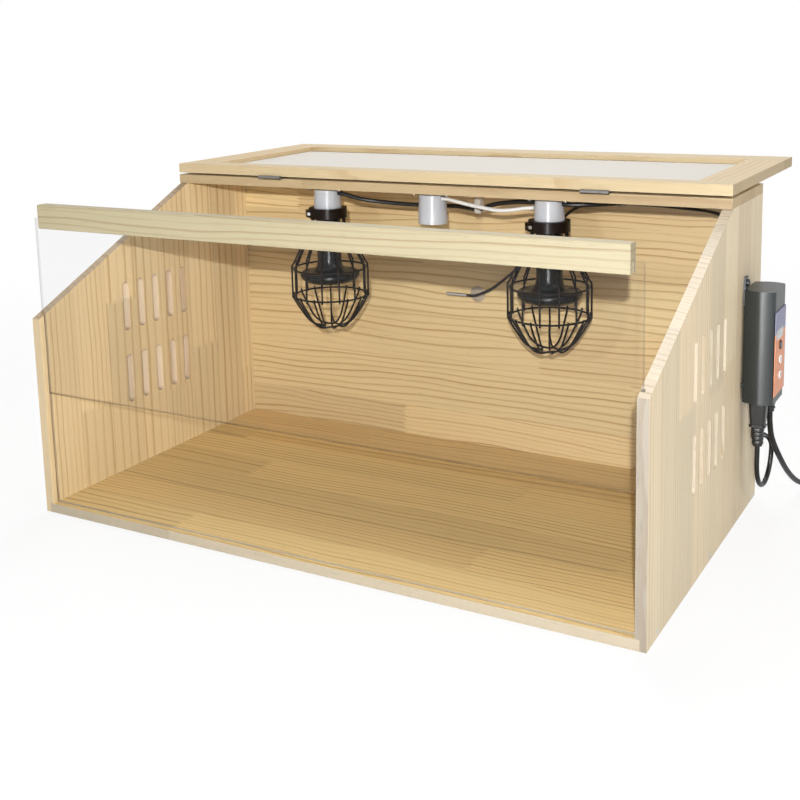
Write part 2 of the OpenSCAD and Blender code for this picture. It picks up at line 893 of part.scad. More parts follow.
module lead_clips() {
    color("LightCyan", 0.5) {
        clip(lamp_route[7], lead_d / 2);
        clip(probe_route[8], probe_d / 2);
    }
}

module grommet() {
    color("Black") {
        rod_x(in_x - e, box_w / 2 + e, hole_y, hole_z, hole_r);
        rod_x(in_x - flange_t, in_x, hole_y, hole_z, flange_r);
        rod_x(box_w / 2, box_w / 2 + flange_t, hole_y, hole_z, flange_r);
    }
}

module probe_rod() {
    color("Silver")
        rod_x(probe_x - probe_rod_l, probe_x, probe_y, probe_z, probe_rod_r);
}

module probe_cup() {
    tip = in_back_y - probe_y - probe_d / 2 + 0.5;
    color("LightCyan", 0.5)
        translate([cup_x, in_back_y, probe_z])
            rotate([90, 0, 0])
                rotate_extrude()
                    polygon([[0, 0], [cup_r, 0], [cup_r, 1], [cup_r * 0.62, 5], [4, 6.5], [4, tip], [0, tip]]);
}

module probe_lead() {
    color("Black")
        tube(curve(probe_route, 2), probe_d / 2);
}

// thermostat
module case_outline() {
    intersection() {
        rounded(case_t - face_t, case_w, case_round);
        translate([4, case_w / 2 - case_bulge_r])
            circle(r = case_bulge_r);
        translate([4, case_bulge_r - case_w / 2])
            circle(r = case_bulge_r);
    }
}

module case() {
    color("DarkSlateGray")
        difference() {
            union() {
                translate([case_x + (case_t - face_t) / 2, case_y, case_z])
                    linear_extrude(case_h)
                        case_outline();
                for (y = foot_ys)
                    rod_x(box_w / 2, case_x + 8, y, case_z + 20, foot_r);
            }
            for (z = button_zs)
                rod_x(button_back_x - button_travel - 0.3, case_face_x + 1, case_y, z, button_bore_r);
        }
}

module face_plate(z0, z1) {
    block([case_face_x, case_face_x + face_t], span(case_y, face_w), [case_z + z0, case_z + z1]);
}

module face_label() {
    color("LightSlateGray")
        face_plate(89, 113);
}

module display() {
    color("DarkGray")
        face_plate(78, 89);
}

module keypad() {
    color("SandyBrown")
        difference() {
            face_plate(10, 78);
            for (z = button_zs)
                rod_x(case_face_x - 1, case_face_x + face_t + 1, case_y, z, button_bore_r);
        }
}

module button(i) {
    rod_x(button_back_x, case_face_x + face_t + button_out, case_y, button_zs[i], button_r);
}

module button_top() {
    color("DimGray")
        button(0);
}

module button_middle() {
    color("WhiteSmoke")
        button(1);
}

module button_low() {
    color("Pink")
        button(2);
}

module hanger() {
    top = case_z + case_h;
    color("DarkSlateGray") {
        block([box_w / 2, case_x], span(hanger_y, hanger_w), [top - 20, top + 14]);
        rod_x(case_x - e, case_x + 3, hanger_y, top + 7, 4);
    }
}

module lamp_plug() {
    color("Black")
        translate([plug_x, plug_y, 0]) {
            translate([0, 0, case_z - 28])
                linear_extrude(28)
                    rounded(24, 20, 5);
            translate([0, 0, case_z - 34])
                cylinder(r = 8.5, h = 6 + e);
            translate([0, 0, plug_z])
                cylinder(r = 5, h = case_z - 34 - plug_z + e);
            for (i = [0 : 3])
                translate([0, 0, plug_z + 2 + 5 * i])
                    cylinder(r = 6.2, h = 2.5);
        }
}

module mains_gland() {
    color("Black")
        translate([gland_x, gland_y, gland_z]) {
            cylinder(r = 5, h = case_z - gland_z);
            for (i = [0 : 2])
                translate([0, 0, 4 + 5 * i])
                    cylinder(r = 6.2, h = 2.5);
        }
}

// cords outside the box
module lamp_loop() {
    color("Black")
        tube(curve(loop_route, 2), lead_d / 2);
}

module mains_lead() {
    color("Black")
        tube(curve(mains_route, 3), cord_r);
}

// the coil runs clockwise from +Y: in along the lower layer, up half a turn, out along the upper layer
coil_points = concat(
    [[coil_start.x, coil_start.y, floor_cord_z], [coil_start.x + cord_d, coil_start.y, floor_cord_z]],
    [for (i = [0 : 54]) let (t = i / 54 * coil_turns)
        [coil_x, coil_y, 0] + around(coil_out_r - t * coil_pitch, 90 - 360 * t, floor_cord_z)],
    [for (i = [1 : 12]) let (t = coil_turns + i / 24)
        [coil_x, coil_y, 0] + around(coil_in_r, 90 - 360 * t, floor_cord_z + coil_step * i / 12)],
    [for (i = [1 : 54]) let (t = i / 54 * coil_turns)
        [coil_x, coil_y, 0] + around(coil_in_r + t * coil_pitch, -90 - 360 * (coil_turns + t), coil_high_z)]
);
coil_last = coil_points[len(coil_points) - 1];
coil_end = coil_last + [5 * cord_d, 0, 0];
coil_path = concat(coil_points, [coil_last + [2.5 * cord_d, 0, 0], coil_end]);
coil_gap = min([for (i = [0 : len(coil_path) - 1], k = [i + 7 : 1 : len(coil_path) - 1])
    norm(coil_path[i] - coil_path[k])]) - cord_d;
echo(coil_gap = coil_gap, coil_end = coil_end);
echo(loop_length = route_length(curve(loop_route, 2)), mains_length = route_length(curve(mains_route, 3)));
echo(coil_length = route_length(coil_path), probe_length = route_length(curve(probe_route, 2)));

module mains_coil() {
    color("Black")
        tube(coil_path, cord_r, 6);
}

module coil_tie() {
    inner = coil_in_r - cord_r - 1;
    outer = coil_out_r + cord_r + 1;
    low = floor_cord_z - cord_r;
    high = coil_high_z + cord_r;
    color("White")
        translate([coil_x, coil_y, 0])
            rotate(-45)
                difference() {
                    block([inner - 1.2, outer + 1.2], [-3, 3], [0, high + 1.2]);
                    block([inner, outer], [-4, 4], [0.4, high]);
                }
}

module mains_plug() {
    color("Black")
        translate(coil_end) {
            rod_x(0, nose_l, 0, 0, 5);
            translate([nose_l - e, 0, -coil_end.z])
                linear_extrude(2 * coil_end.z)
                    translate([plug_l / 2, 0])
                        rounded(plug_l, plug_w, 6);
        }
}

module plug_pins() {
    color("Silver")
        for (s = [-1, 1])
            translate(coil_end)
                rod_x(nose_l + plug_l - e, nose_l + plug_l + pin_l, s * pin_gap / 2, 0, 2.4);
}

side_left();
side_right();
back_panel();
floor_panel();
top_board();
side_screws();
flap_near_rail();
flap_far_rail();
flap_left_rail();
flap_right_rail();
flap_panel();
hinge_base_left();
hinge_base_right();
hinge_flap_left();
hinge_flap_right();
hinge_pin_left();
hinge_pin_right();
hinge_screws_base();
hinge_screws_flap();
bumpers();
window_sheet();
window_bar();
holder_plates();
plate_screws();
holder_left();
holder_mid();
holder_right();
socket_contact();
collar_left();
collar_right();
collar_screws();
cage_left();
cage_right();
emitter_left();
emitter_right();
lead_lamps();
lead_white();
lead_riser();
lead_clips();
grommet();
probe_rod();
probe_cup();
probe_lead();
case();
face_label();
display();
keypad();
button_top();
button_middle();
button_low();
hanger();
lamp_plug();
mains_gland();
lamp_loop();
mains_lead();
mains_coil();
coil_tie();
mains_plug();
plug_pins();
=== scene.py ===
import json
from math import copysign, cos, pi, radians, sin, sqrt

import bmesh
import bpy
from mathutils import Matrix, Vector


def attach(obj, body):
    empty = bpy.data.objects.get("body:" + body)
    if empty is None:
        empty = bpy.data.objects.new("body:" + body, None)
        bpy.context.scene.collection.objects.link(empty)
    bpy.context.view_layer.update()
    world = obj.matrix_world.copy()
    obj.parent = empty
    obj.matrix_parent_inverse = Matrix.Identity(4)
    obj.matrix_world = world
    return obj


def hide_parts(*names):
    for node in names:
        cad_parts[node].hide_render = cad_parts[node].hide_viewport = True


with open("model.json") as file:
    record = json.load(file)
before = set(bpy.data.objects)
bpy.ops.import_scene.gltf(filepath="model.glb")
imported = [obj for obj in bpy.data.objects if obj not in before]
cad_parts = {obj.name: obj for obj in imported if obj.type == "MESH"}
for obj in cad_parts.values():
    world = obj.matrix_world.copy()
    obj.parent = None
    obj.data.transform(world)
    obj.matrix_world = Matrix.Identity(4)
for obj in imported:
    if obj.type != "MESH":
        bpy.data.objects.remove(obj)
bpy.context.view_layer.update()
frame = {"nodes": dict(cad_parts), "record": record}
nodes = frame["nodes"]
slots = {part["node"]: part["material_slot"] for part in frame["record"]["subparts"]}
scene = bpy.context.scene

MM = 0.001  # routes, profiles and widths are given in millimetres
WHITE = (1.0, 1.0, 1.0, 1.0)
LAMP_X, LAMP_Y = 165, 105  # the axes of the two outer lamps
CASE_X, CASE_Y = 420.75, 158  # the middle of the thermostat's case
PLUG_AXIS = (420.25, 140)  # the lamp plug under it


# ---------------------------------------------------------------- camera
PICTURE_WIDTH = 800.0  # pixels
FOCAL_LENGTH = 1183.55  # pixels
SENSOR_WIDTH = 36.0


def set_camera():
    """The camera, at the place that was fitted to the box's edges."""
    lens = bpy.data.cameras.new("front_view")
    lens.sensor_width = SENSOR_WIDTH
    lens.lens = SENSOR_WIDTH * FOCAL_LENGTH / PICTURE_WIDTH
    lens.shift_y = -0.2
    lens.clip_start = 0.05
    lens.clip_end = 60.0
    eye = bpy.data.objects.new("front_view", lens)
    across = Vector((0.871304, 0.490153, -0.024084))
    upward = Vector((-0.061825, 0.158322, 0.98545))
    backward = Vector((0.486834, -0.857137, 0.16825))
    turn = Matrix((across, upward, backward)).transposed().to_4x4()
    eye.matrix_world = Matrix.Translation((0.725925, -1.262716, 0.594239)) @ turn
    scene.collection.objects.link(eye)
    scene.camera = eye


set_camera()


# ---------------------------------------------------------------- cords
def rounded_route(route, steps):
    """Catmull-Rom points through a route in millimetres, its first and last leg straight."""
    points = [Vector(p) for p in route]
    inner = points[1:-1]
    smooth = [points[0]]
    for i in range(len(inner) - 1):
        before, start = points[i], inner[i]
        end, after = inner[i + 1], points[i + 3]
        for k in range(steps):
            t = k / steps
            smooth.append(0.5 * (2 * start + (end - before) * t
                                 + (2 * before - 5 * start + 4 * end - after) * t * t
                                 + (3 * start - before - 3 * end + after) * t * t * t))
    return smooth + [inner[-1], points[-1]]


def wire(name, runs, thickness, closed=False, fine=5):
    """A round wire or cord along each run of points, in millimetres."""
    line = bpy.data.curves.new(name, "CURVE")
    line.dimensions = "3D"
    line.bevel_depth = thickness / 2 * MM
    line.bevel_resolution = fine
    line.use_fill_caps = True
    for run in runs:
        spline = line.splines.new("POLY")
        spline.points.add(len(run) - 1)
        spline.use_smooth = True
        spline.use_cyclic_u = closed
        for point, place in zip(spline.points, run):
            point.co = (*(Vector(place) * MM), 1.0)
    bare = bpy.data.objects.new(name, line)
    scene.collection.objects.link(bare)
    bpy.context.view_layer.update()
    round_mesh = bpy.data.meshes.new_from_object(bare.evaluated_get(bpy.context.evaluated_depsgraph_get()))
    bpy.data.objects.remove(bare)
    made = bpy.data.objects.new(name, round_mesh)
    scene.collection.objects.link(made)
    return made


def run_length(run):
    """The length of a run, in metres."""
    return sum((b - a).length for a, b in zip(run, run[1:])) * MM


loop_run = rounded_route([
    (420.25, 140, 97), (420.25, 140, 89), (420.25, 140, 69), (420.875, 144.15, 53.5), (421.5, 155.5, 42.15),
    (422.125, 171, 38), (422.75, 186.5, 42.15), (423.375, 197.85, 53.5), (424, 202, 69), (423.8, 202, 80),
    (419.9, 202, 87.9), (410, 202, 92), (402, 202, 92)], 4)
lead_run = rounded_route([
    (427, 173, 132), (427, 173, 122), (429, 179, 96), (435, 201, 64), (441, 231, 34),
    (449, 263, 12), (463, 293, 4), (489, 356.9, 4), (520, 364.9, 4), (536, 364.9, 4)], 4)


def coil_run():
    """The length that is put away: a flat coil inwards, a climb, and a second layer outwards."""
    middle = Vector((550, 315, 0))
    outer, inner, pitch, turns = 49.9, 30.1, 8.8, 2.25
    low, high = 4, 12.4
    steps, climb = 81, 18
    run = [Vector((543, 364.9, low))]

    def at(radius, degrees, height):
        angle = radians(degrees)
        return middle + Vector((radius * cos(angle), radius * sin(angle), height))

    for i in range(steps + 1):
        t = i / steps * turns
        run.append(at(outer - pitch * t, 90 - 360 * t, low))
    for i in range(1, climb + 1):
        t = turns + i / climb / 2
        run.append(at(inner, 90 - 360 * t, low + (high - low) * i / climb))
    for i in range(1, steps + 1):
        t = i / steps * turns
        run.append(at(inner + pitch * t, -90 - 360 * (turns + t), high))
    last = run[-1]
    return run + [last + Vector((17.5, 0, 0)), last + Vector((35, 0, 0))]


def cord_piece(name, run, thickness, *stands_for):
    """A free cord along a run, riding on the cabinet."""
    made = wire(name, [run], thickness)
    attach(made, "cabinet")
    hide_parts(*stands_for)
    return made


mains_run = lead_run + coil_run()
mains_cord = cord_piece("mains_cord", mains_run, 7, "mains_lead", "mains_coil")
lamp_cord = cord_piece("lamp_cord", loop_run, 6, "lamp_loop")
tuple(loop_run[0] * MM)
run_length(loop_run)
[tuple(p * MM) for p in loop_run]


# ---------------------------------------------------------------- shader maths
class Shade:
    """One socket of a finish, with arithmetic on its values."""

    def __init__(self, finish, socket):
        self.finish = finish
        self.socket = socket

    def math(self, operation, *values):
        return self.finish.node("ShaderNodeMath", {"operation": operation}, dict(enumerate(values)))

    def __add__(self, other):
        return self.math("ADD", self, other)

    __radd__ = __add__

    def __mul__(self, other):
        return self.math("MULTIPLY", self, other)

    __rmul__ = __mul__

    def __sub__(self, other):
        return self.math("SUBTRACT", self, other)

    def __rsub__(self, other):
        return self.math("SUBTRACT", other, self)

    def __truediv__(self, other):
        return self.math("DIVIDE", self, other)

    def __pow__(self, other):
        return self.math("POWER", self, other)

    def __lt__(self, other):
        return self.math("LESS_THAN", self, other)

    def __gt__(self, other):
        return self.math("GREATER_THAN", self, other)

    def __abs__(self):
        return self.math("ABSOLUTE", self)

    def floor(self):
        return self.math("FLOOR", self)

    def fold(self, width):
        """Runs to and fro between 0 and width."""
        return self.math("PINGPONG", self, width)

    def either(self, other):
        return self.math("MAXIMUM", self, other)

    def ramp(self, low, high, start=0.0, end=1.0):
        """Rises smoothly from start at low to end at high."""
        return self.finish.node("ShaderNodeMapRange", {"interpolation_type": "SMOOTHSTEP"},
                                {"Value": self, "From Min": low, "From Max": high,
                                 "To Min": start, "To Max": end})


class Nodes:
    """A node tree whose nodes all come from one method."""

    def __init__(self, tree):
        self.tree = tree

    def feed(self, socket, value):
        """Links a shade to a socket, or sets a plain value on it."""
        if isinstance(value, Shade):
            self.tree.links.new(value.socket, socket)
        else:
            socket.default_value = value

    def node(self, kind, settings=None, inputs=None, out=0):
        made = self.tree.nodes.new(kind)
        for key, value in (settings or {}).items():
            setattr(made, key, value)
        for key, value in (inputs or {}).items():
            self.feed(made.inputs[key], value)
        return Shade(self, made.outputs[out])


class Finish(Nodes):
    """A material, read on Object coordinates."""

    def __init__(self, name):
        self.material = bpy.data.materials.new(name)
        self.material.use_nodes = True
        super().__init__(self.material.node_tree)
        self.shader = self.tree.nodes["Principled BSDF"]
        self.place = self.node("ShaderNodeTexCoord", out="Object")
        self.x, self.y, self.z = self.split(self.place)

    def split(self, vector):
        """The three parts of a vector or colour."""
        first = self.node("ShaderNodeSeparateXYZ", {}, {0: vector})
        return [Shade(self, output) for output in first.socket.node.outputs]

    def join(self, x, y, z):
        return self.node("ShaderNodeCombineXYZ", {}, {0: x, 1: y, 2: z})

    def noise(self, vector, scale=1.0, detail=2.0, rough=0.5):
        return self.node("ShaderNodeTexNoise", {}, {"Vector": vector, "Scale": scale, "Detail": detail,
                                                    "Roughness": rough})

    def chance(self, value):
        """A steady random number for each value."""
        return self.node("ShaderNodeTexWhiteNoise", {"noise_dimensions": "1D"}, {"W": value})

    def mix(self, factor, first, second, blend="MIX"):
        return self.node("ShaderNodeMix", {"data_type": "RGBA", "blend_type": blend, "clamp_factor": True},
                         {0: factor, 6: first, 7: second}, out=2)

    def bump(self, height, strength, distance):
        return self.node("ShaderNodeBump", {}, {"Height": height, "Strength": strength, "Distance": distance})

    def set(self, **sockets):
        """Feeds the shader's sockets, named in small letters."""
        for key, value in sockets.items():
            self.feed(self.shader.inputs[key.replace("_", " ").title().replace("Ior", "IOR")], value)


def tone(red, green, blue):
    """A colour given as it looks on screen, 0 to 255."""
    def linear(c):
        c /= 255.0
        return c / 12.92 if c <= 0.04045 else ((c + 0.055) / 1.055) ** 2.4
    return (linear(red), linear(green), linear(blue), 1.0)


# ---------------------------------------------------------------- finishes
FINGER_WIDTH, FINGER_SLOPE = 0.0024, 3.4  # the zigzag of a finger joint
GLUE_LINE = 0.0006
ROSY_TINT = (1.0, 0.9, 0.84, 1.0)
KNOT_BROWN = (0.12, 0.05, 0.018, 1.0)


def pine(name, along, across, through, middle, early, late, seed, strip=0.064, stick=0.78, rings=110.0,
         quarter=0.0, sway=0.03, contrast=0.95, vary=0.2, edge=WHITE, edge_to=-0.2, slot=WHITE,
         end=(0.78, 0.76, 0.74, 1.0), calm=0.0):
    """Edge-glued, finger-jointed pine: strips side by side, each with its own growth rings.

    along, across and through name the board's axes, and middle is the middle of its thickness. The board is
    glued from strips of width strip, each of sticks of length stick. early and late are the tones of the rings,
    rings is their number in a metre, quarter shifts the strips off the pith, and sway bends the grain. edge tints
    the long edges before edge_to, and on the right panel that tint is partly painted shade. slot tints the long
    edges beyond edge_to, mostly the walls of vent slots, as painted light. end tints the end grain, and calm
    fades the rings on the long edges.
    """
    f = Finish(name)
    axes = {"X": f.x, "Y": f.y, "Z": f.z}
    g, a, b = axes[along], axes[across], axes[through]

    # strips and sticks, with three random numbers for each stick
    lane_at = (a + (3.0 + seed)) / strip
    lane = lane_at.floor()
    in_lane = lane_at - lane
    shift = f.chance(lane + seed * 13.0)
    fingers = a.fold(FINGER_WIDTH) * FINGER_SLOPE
    stick_at = (g + shift * 0.9 + fingers + 4.0) / stick
    piece = stick_at.floor()
    in_stick = stick_at - piece
    own = f.node("ShaderNodeTexWhiteNoise", {"noise_dimensions": "3D"},
                 {"Vector": f.join(lane, piece, seed)}, out="Color")
    first, second, third = f.split(own)

    # growth rings about a wandering pith
    slow = f.noise(f.join(g * 2.2 + third * 40.0, a * 7.0, b * 7.0), detail=2.0)
    ripple = f.noise(f.join(g * 10.0 + first * 40.0, a * 40.0, b * 40.0), detail=2.0)
    u = (in_lane - 0.5) * strip + (first - 0.5) * 0.08 + (slow - 0.5) * sway + (ripple - 0.5) * 0.005 + quarter
    v = (b - middle) + 0.012 + second * 0.022
    ring_at = (u * u + v * v) ** 0.5 * (third * 0.7 + 0.65) * rings
    ring = ring_at.floor()
    in_ring = ring_at - ring
    line = in_ring.ramp(0.45, 0.95) ** 2.0 * (1.0 - in_ring.ramp(0.95, 1.0))
    line = line * (f.chance(ring + first * 91.0) * 0.75 + 0.25)

    # fibres, streaks, cloudy patches and resin dashes
    fibre = f.noise(f.join(g * 14.0, a * 750.0, b * 750.0), detail=3.0, rough=0.6)
    streak = f.noise(f.join(g * 2.4 + second * 30.0, a * 170.0, b * 170.0), detail=4.0, rough=0.65)
    cloud = f.noise(f.join(g * 1.1, a * 6.0, b * 6.0 + third * 9.0), detail=2.0)
    dash = f.noise(f.join(g * 55.0, a * 900.0, b * 900.0), detail=0.0).ramp(0.72, 0.8)

    # end grain, long edges, glue lines and finger joints
    facing = f.split(f.node("ShaderNodeTexCoord", out="Normal"))
    cut = abs(facing["XYZ".index(along)]) ** 2.0
    rim = abs(facing["XYZ".index(across)]) ** 2.0
    if calm:
        line = line * (1.0 - rim * calm)
    glue = abs(in_lane - 0.5).ramp(0.5 - GLUE_LINE / strip, 0.5)
    joint = abs(in_stick - 0.5).ramp(0.5 - GLUE_LINE / stick, 0.5)
    seam = (glue * (shift * 0.9 + 0.1)).either(joint * 0.5)

    # a few knots
    cell = {"Vector": f.join(g * 5.0, a * 11.0, b * 11.0), "Scale": 1.0}
    near = f.node("ShaderNodeTexVoronoi", {"feature": "F1"}, cell)
    lot = f.split(f.node("ShaderNodeTexVoronoi", {"feature": "F1"}, cell, out="Color"))[0]
    knot = (1.0 - near.ramp(0.01, 0.045)) * (lot < 0.1)

    colour = f.mix(line * contrast + (streak - 0.5) * 0.42, early, late)
    rosy = f.mix(1.0, colour, ROSY_TINT, "MULTIPLY")
    colour = f.mix(second * 0.55 + (cloud - 0.5) * 0.4, colour, rosy)
    level = (first - 0.5) * vary + (fibre - 0.5) * 0.18 + (cloud - 0.5) * 0.12 + 1.0 - seam * 0.22 - dash * 0.12
    colour = f.mix(1.0, colour, level, "MULTIPLY")
    # long edges: edge before edge_to, partly painted shade on the right panel; slot beyond it, painted light on the
    # vent walls
    colour = f.mix(rim, colour, f.mix(1.0, colour, f.mix(a < edge_to, slot, edge), "MULTIPLY"))
    colour = f.mix(cut, colour, f.mix(1.0, colour, end, "MULTIPLY"))
    colour = f.mix(knot * 0.7, colour, KNOT_BROWN)
    f.set(base_color=colour, roughness=0.56 - line * 0.1 + (fibre - 0.5) * 0.2,
          normal=f.bump(fibre * 0.6 + line * 0.3 - seam * 0.8, 0.16, 0.0004), specular_ior_level=0.35)
    return f.material


def enamel(name, colour, rough, speck=0.06, scale=900.0, bump=0.05, coat=0.0, shine=0.5, wear=0.2):
    """A plain moulded, glazed or painted surface with a fine texture and faint wear."""
    f = Finish(name)
    grain = f.noise(f.place, scale, 3.0, 0.6)
    cloud = f.noise(f.place, 45.0, 3.0, 0.55)
    level = (grain - 0.5) * speck + (cloud - 0.5) * speck * 1.6 + 1.0
    f.set(base_color=f.mix(1.0, colour, level, "MULTIPLY"), coat_weight=coat, specular_ior_level=shine,
          roughness=(cloud - 0.5) * wear + (grain - 0.5) * wear * 0.5 + rough, normal=f.bump(grain, bump, 0.0003))
    return f.material


def brushed(name, colour, rough):
    """Bare metal with fine drawn lines."""
    f = Finish(name)
    lines = f.noise(f.join(f.x * 60.0, f.y * 1500.0, f.z * 1500.0), 1.0, 2.0, 0.6)
    cloud = f.noise(f.place, 120.0, 2.0, 0.5)
    f.set(base_color=f.mix(1.0, colour, (lines - 0.5) * 0.25 + (cloud - 0.5) * 0.2 + 1.0, "MULTIPLY"),
          metallic=1.0, roughness=(lines - 0.5) * 0.2 + (cloud - 0.5) * 0.15 + rough,
          normal=f.bump(lines, 0.05, 0.0002))
    return f.material


HAZE_TINT = (0.93, 0.95, 0.96, 1.0)
EDGE_ALPHA = 0.34


def clear(name, colour, rim, alpha, rough, edge=None):
    """Clear plastic, hazier where it has been handled, and denser at its cut edges."""
    f = Finish(name)
    hazier = tuple(c * h for c, h in zip(colour, HAZE_TINT))
    cloud = f.noise(f.place, 9.0, 4.0, 0.6)
    dust = f.noise(f.place, 420.0, 2.0, 0.6)
    see = (cloud - 0.5) * alpha * 0.5 + (dust - 0.5) * alpha * 0.25 + alpha
    cut = (cloud - 0.5) * 0.2
    if edge is not None:
        cut = edge(f)
        see = see.either(cut * EDGE_ALPHA)
    f.set(base_color=f.mix(cut, f.mix(cloud, colour, hazier), rim), alpha=see,
          roughness=(dust - 0.5) * 0.02 + rough, normal=f.bump(cloud, 0.01, 0.0001))
    f.material.blend_method = "BLEND"
    return f.material


wood_back = pine("pine_back", "X", "Z", "Y", 0.219, tone(206, 184, 138), tone(160, 126, 75), 1.7, strip=0.071,
                 rings=125.0, quarter=0.1, sway=0.045)
wood_floor = pine("pine_floor", "X", "Y", "Z", 0.006, tone(211, 184, 129), tone(138, 101, 53), 5.1, rings=100.0,
                  quarter=0.075, sway=0.04, contrast=0.77, edge=(0.645, 0.75, 1.2, 1.0), calm=0.9)
# the left panel's vent walls (slot) are tinted paler and bluer: painted light through the slots
wood_left = pine("pine_left", "Z", "Y", "X", -0.394, tone(221, 201, 159), tone(178, 144, 95), 8.3, strip=0.058,
                 rings=90.0, quarter=0.14, sway=0.012, contrast=0.82, edge=(0.8, 0.8, 0.86, 1.0),
                 slot=(1.12, 1.16, 1.42, 1.0), end=(0.52, 0.5, 0.54, 1.0))
# the right panel: tones paler and greyer than the left's, partly painted light from the white floor; front edge
# (edge) darkened against the strip lamp's sheen, painted shade; vent walls (slot) tinted cooler, painted light
wood_right = pine("pine_right", "Z", "Y", "X", 0.394, tone(212, 198, 169), tone(180, 157, 117), 8.9, strip=0.058,
                  rings=170.0, quarter=0.14, sway=0.025, contrast=0.9, edge=(0.5, 0.52, 0.6, 1.0),
                  slot=(0.94, 0.98, 1.1, 1.0), end=(0.96, 0.98, 1.08, 1.0))
wood_top = pine("pine_top", "X", "Y", "Z", 0.4, tone(204, 183, 144), tone(164, 131, 84), 2.9,
                quarter=0.08, contrast=0.75, edge=(0.72, 0.69, 0.66, 1.0), edge_to=0.08)

ONE_PIECE = {"strip": 0.4, "stick": 3.0, "contrast": 0.8}  # wood that isn't glued up
FLAP_MIDDLE, RAIL_TONES = 0.4155, (tone(192, 173, 137), tone(156, 124, 80))
wood_bar = pine("pine_bar", "X", "Z", "Y", -0.215, tone(168, 158, 129), tone(136, 117, 80), 4.2, rings=150.0,
                **ONE_PIECE)
wood_rail = pine("pine_rails", "X", "Y", "Z", FLAP_MIDDLE, *RAIL_TONES, 6.6, **ONE_PIECE)
wood_stile = pine("pine_stiles", "Y", "X", "Z", FLAP_MIDDLE, *RAIL_TONES, 7.4, **ONE_PIECE)


def sheet_edges(f):
    """The window's two ends and its lower edge."""
    ends = abs(f.x).ramp(0.3898, 0.3906)
    low = 1.0 - f.z.ramp(0.1578, 0.1592)
    return (ends * 0.6).either(low)


LABEL_BLUE, KEYPAD_ORANGE = tone(110, 113, 140), tone(206, 128, 82)
PALE_KEY = (tone(226, 219, 213), tone(180, 154, 158))


def face_plate(name, colour):
    """A printed plate on the thermostat's face, with a thin darker border."""
    f = Finish(name)
    grain = f.noise(f.place, 900.0, 3.0, 0.6)
    border = f.y.ramp(0.1832, 0.184)
    shown = f.mix(1.0, colour, (grain - 0.5) * 0.08 + 1.0, "MULTIPLY")
    f.set(base_color=f.mix(border, shown, tone(92, 84, 112)), roughness=(grain - 0.5) * 0.1 + 0.4)
    return f.material


def display_plate():
    """A pale liquid-crystal window, its surround blue above and orange below."""
    f = Finish("display_grey")
    grain = f.noise(f.place, 600.0, 2.0, 0.5)
    aside, above = abs(f.y - 0.154), abs(f.z - 0.2355)
    surround = f.mix(f.z > 0.2378, KEYPAD_ORANGE, LABEL_BLUE)
    window = aside.ramp(0.0175, 0.0185)
    frame_line = aside.ramp(0.0158, 0.0165).either(above.ramp(0.0042, 0.0048))
    crystal = f.mix(1.0, tone(160, 166, 164), (grain - 0.5) * 0.06 + 1.0, "MULTIPLY")
    glass = f.mix(frame_line, crystal, tone(186, 189, 191))
    f.set(base_color=f.mix(window, glass, surround), roughness=(grain - 0.5) * 0.06 + window * 0.2 + 0.2)
    return f.material


def button_cap(name, ring, middle, height):
    """A round key with a plain printed dot."""
    f = Finish(name)
    grain = f.noise(f.place, 900.0, 3.0, 0.6)
    aside, above = f.y - CASE_Y * MM, f.z - height
    out = (aside * aside + above * above) ** 0.5
    shown = f.mix(out.ramp(0.0024, 0.003), middle, ring)
    f.set(base_color=f.mix(1.0, shown, (grain - 0.5) * 0.1 + 1.0, "MULTIPLY"), roughness=(grain - 0.5) * 0.1 + 0.4)
    return f.material


acrylic = clear("window_acrylic", tone(86, 86, 86), tone(98, 74, 42), 0.046, 0.04, sheet_edges)
soft_clear = clear("clear_vinyl", tone(214, 210, 204), tone(240, 240, 238), 0.4, 0.15)
opal = enamel("opal_sheet", tone(213, 208, 200), 0.5, speck=0.012, scale=500.0, bump=0.002, shine=0.06,
              wear=0.03)
ceramic = enamel("white_glaze", tone(170, 172, 177), 0.24, speck=0.05, scale=500.0, bump=0.04, coat=0.4)
black_glaze = enamel("black_ceramic", tone(13, 14, 15), 0.24, speck=0.3, scale=700.0, bump=0.03, shine=0.24,
                     wear=0.1)
black_wire = enamel("black_wire", tone(22, 14, 10), 0.3, speck=0.3, bump=0.04, shine=0.1)
black_rubber = enamel("black_cord", tone(16, 16, 16), 0.34, speck=0.25, scale=700.0, shine=0.35)
white_cord = enamel("white_cord", tone(204, 203, 200), 0.4, speck=0.08, scale=700.0)
rubber = enamel("rubber", tone(30, 30, 31), 0.6, speck=0.3, bump=0.1)
moulded = enamel("case_plastic", tone(28, 34, 36), 0.38, speck=0.14, scale=1300.0, bump=0.3, shine=0.6,
                 wear=0.08)
black_plastic = enamel("black_plastic", tone(18, 18, 19), 0.38, speck=0.25, scale=1300.0, bump=0.15)
steel = brushed("steel", tone(190, 191, 193), 0.3)
hinge_metal = brushed("hinge_steel", tone(128, 126, 122), 0.4)
label = face_plate("label_blue", LABEL_BLUE)
glass_grey = display_plate()
orange = face_plate("keypad_orange", KEYPAD_ORANGE)
dark_button = button_cap("button_dark", tone(50, 44, 44), tone(92, 82, 82), 0.221)
middle_button = button_cap("button_middle", *PALE_KEY, 0.203)
low_button = button_cap("button_low", *PALE_KEY, 0.184)

